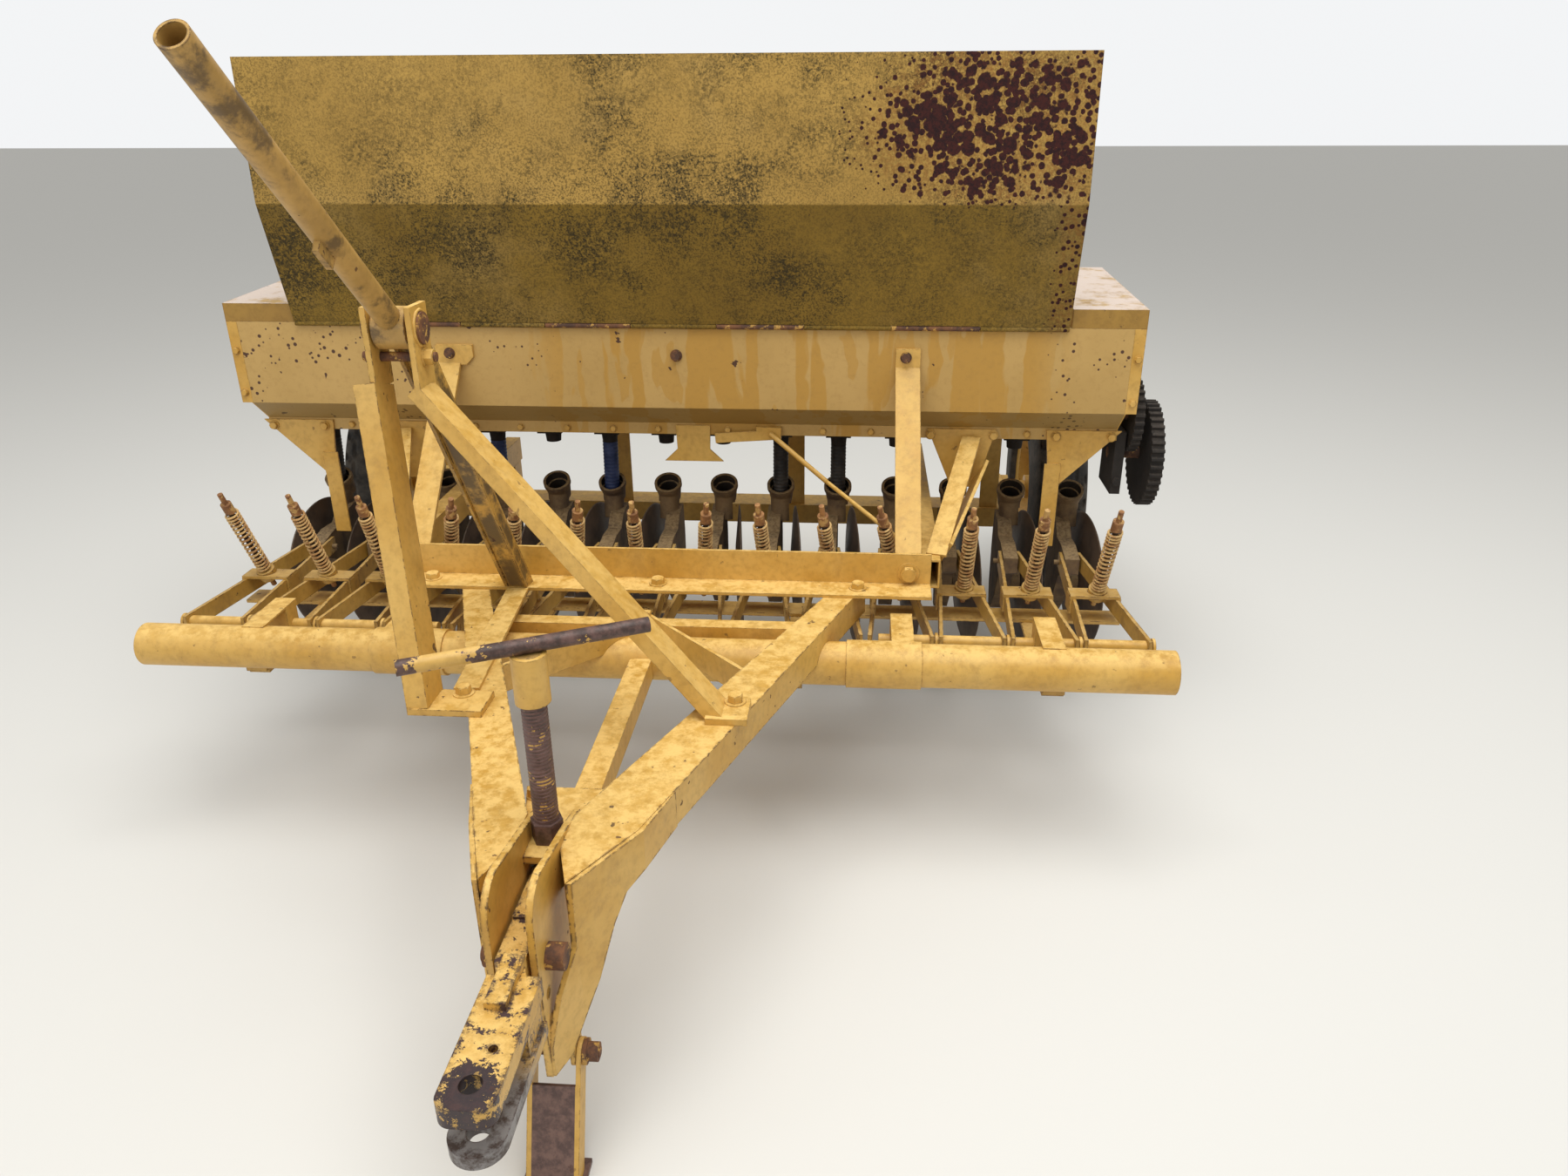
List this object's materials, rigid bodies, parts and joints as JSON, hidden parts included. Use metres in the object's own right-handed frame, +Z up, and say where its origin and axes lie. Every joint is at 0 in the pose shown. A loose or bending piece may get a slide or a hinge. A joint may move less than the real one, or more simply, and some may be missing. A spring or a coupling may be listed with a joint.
{
  "type": "trailed seed drill",
  "caption": "Towed seed drill: open hollow seed box over a row of sprung disc openers, two wheels, V drawbar with clevis, screw jack, stand and lift lever.",
  "frame": {"origin": "middle of the hitch pin bore at the front of the tongue", "axes": "+X across the machine to its right seen from the front, +Y rearwards, +Z up"},
  "size_m": [2.227, 2.7618, 1.5336],
  "materials": {
    "ochre_paint": "weathered ochre paint with dust and chips",
    "stained_paint": "ochre paint under black mould with rust patches",
    "rusty_steel": "rusty",
    "dusty_casting": "dusty worn paint",
    "dark_casting": "greasy and dark",
    "worn_disc_steel": "dull with rust film",
    "tube_rubber": "perished",
    "tyre_rubber": "dusty"
  },
  "bodies": {
    "frame": {"front_tube": "ochre_paint", "drag_rod": "ochre_paint", "drawbar_arms": "ochre_paint", "cross_beam": "ochre_paint", "angle_rail": "ochre_paint", "drawbar_braces": "ochre_paint", "hitch_head": "ochre_paint", "screw_jack": "rusty_steel", "hitch_bolts": "rusty_steel", "mast_left_leg": "ochre_paint", "mast_right_leg": "ochre_paint", "mast_brace": "ochre_paint", "mast_tube": "dusty_casting", "box_front": "ochre_paint", "box_rear": "ochre_paint", "box_floor": "ochre_paint", "box_ends": "ochre_paint", "box_dividers": "ochre_paint", "end_covers": "ochre_paint", "lid_hinge": "rusty_steel", "uprights": "ochre_paint", "box_brackets": "ochre_paint", "side_beams": "ochre_paint", "rear_frame": "ochre_paint", "wheel_arms": "ochre_paint", "opener_boots": "dusty_casting", "opener_arms": "ochre_paint", "saddles": "ochre_paint", "springs": "rusty_steel", "spring_rods": "rusty_steel", "lift_bar": "ochre_paint", "feed_cups": "dark_casting", "drive_shafts": "rusty_steel", "seed_tubes": "tube_rubber", "drive_gears": "dark_casting", "gear_case": "dark_casting", "centre_guard": "ochre_paint", "clutch_link": "ochre_paint"},
    "wheel_left": {"tyre_left": "tyre_rubber", "rim_left": "ochre_paint"},
    "wheel_right": {"tyre_right": "tyre_rubber", "rim_right": "ochre_paint"},
    "lid": {"lid": "stained_paint"},
    "tongue": {"tongue": "ochre_paint"},
    "stand": {"parking_stand": "ochre_paint"},
    "lever": {"lift_lever": "ochre_paint"},
    "disc_01": {"disc_01": "worn_disc_steel"},
    "disc_02": {"disc_02": "worn_disc_steel"},
    "disc_03": {"disc_03": "worn_disc_steel"},
    "disc_04": {"disc_04": "worn_disc_steel"},
    "disc_05": {"disc_05": "worn_disc_steel"},
    "disc_06": {"disc_06": "worn_disc_steel"},
    "disc_07": {"disc_07": "worn_disc_steel"},
    "disc_08": {"disc_08": "worn_disc_steel"},
    "disc_09": {"disc_09": "worn_disc_steel"},
    "disc_10": {"disc_10": "worn_disc_steel"},
    "disc_11": {"disc_11": "worn_disc_steel"},
    "disc_12": {"disc_12": "worn_disc_steel"},
    "disc_13": {"disc_13": "worn_disc_steel"},
    "disc_14": {"disc_14": "worn_disc_steel"}
  },
  "joints": [
    {"name": "wheel_left_spin", "type": "hinge", "parent": "frame", "child": "wheel_left", "pos_m": [-1, 2.376, -0.022], "axis": [1, 0, 0], "continuous": true},
    {"name": "wheel_right_spin", "type": "hinge", "parent": "frame", "child": "wheel_right", "pos_m": [1, 2.376, -0.022], "axis": [1, 0, 0], "continuous": true},
    {"name": "disc_01_spin", "type": "hinge", "parent": "frame", "child": "disc_01", "pos_m": [-1.009, 1.796, -0.082], "axis": [-0.9925, 0.1219, 0], "continuous": true},
    {"name": "disc_02_spin", "type": "hinge", "parent": "frame", "child": "disc_02", "pos_m": [-0.859, 1.796, -0.082], "axis": [-0.9925, 0.1219, 0], "continuous": true},
    {"name": "disc_03_spin", "type": "hinge", "parent": "frame", "child": "disc_03", "pos_m": [-0.709, 1.796, -0.082], "axis": [-0.9925, 0.1219, 0], "continuous": true},
    {"name": "disc_04_spin", "type": "hinge", "parent": "frame", "child": "disc_04", "pos_m": [-0.559, 1.796, -0.082], "axis": [-0.9925, 0.1219, 0], "continuous": true},
    {"name": "disc_05_spin", "type": "hinge", "parent": "frame", "child": "disc_05", "pos_m": [-0.409, 1.796, -0.082], "axis": [-0.9925, 0.1219, 0], "continuous": true},
    {"name": "disc_06_spin", "type": "hinge", "parent": "frame", "child": "disc_06", "pos_m": [-0.259, 1.796, -0.082], "axis": [-0.9925, 0.1219, 0], "continuous": true},
    {"name": "disc_07_spin", "type": "hinge", "parent": "frame", "child": "disc_07", "pos_m": [-0.109, 1.796, -0.082], "axis": [-0.9925, 0.1219, 0], "continuous": true},
    {"name": "disc_08_spin", "type": "hinge", "parent": "frame", "child": "disc_08", "pos_m": [0.109, 1.796, -0.082], "axis": [0.9925, 0.1219, 0], "continuous": true},
    {"name": "disc_09_spin", "type": "hinge", "parent": "frame", "child": "disc_09", "pos_m": [0.259, 1.796, -0.082], "axis": [0.9925, 0.1219, 0], "continuous": true},
    {"name": "disc_10_spin", "type": "hinge", "parent": "frame", "child": "disc_10", "pos_m": [0.409, 1.796, -0.082], "axis": [0.9925, 0.1219, 0], "continuous": true},
    {"name": "disc_11_spin", "type": "hinge", "parent": "frame", "child": "disc_11", "pos_m": [0.559, 1.796, -0.082], "axis": [0.9925, 0.1219, 0], "continuous": true},
    {"name": "disc_12_spin", "type": "hinge", "parent": "frame", "child": "disc_12", "pos_m": [0.709, 1.796, -0.082], "axis": [0.9925, 0.1219, 0], "continuous": true},
    {"name": "disc_13_spin", "type": "hinge", "parent": "frame", "child": "disc_13", "pos_m": [0.859, 1.796, -0.082], "axis": [0.9925, 0.1219, 0], "continuous": true},
    {"name": "disc_14_spin", "type": "hinge", "parent": "frame", "child": "disc_14", "pos_m": [1.009, 1.796, -0.082], "axis": [0.9925, 0.1219, 0], "continuous": true},
    {"name": "lid_hinge_swing", "type": "hinge", "parent": "frame", "child": "lid", "pos_m": [0, 1.6, 0.607], "axis": [1, 0, 0], "range_deg": [-95, 0]},
    {"name": "tongue_swing", "type": "hinge", "parent": "frame", "child": "tongue", "pos_m": [-0.015, 0.246, 0.012], "axis": [1, 0, 0], "range_deg": [-10, 0]},
    {"name": "stand_swing", "type": "hinge", "parent": "frame", "child": "stand", "pos_m": [0.009, 0.271, -0.189], "axis": [1, 0, 0], "range_deg": [0, 105]},
    {"name": "lever_swing", "type": "hinge", "parent": "frame", "child": "lever", "pos_m": [-0.338, 0.881, 0.736], "axis": [1, 0, 0], "range_deg": [-35, 45]}
  ]
}
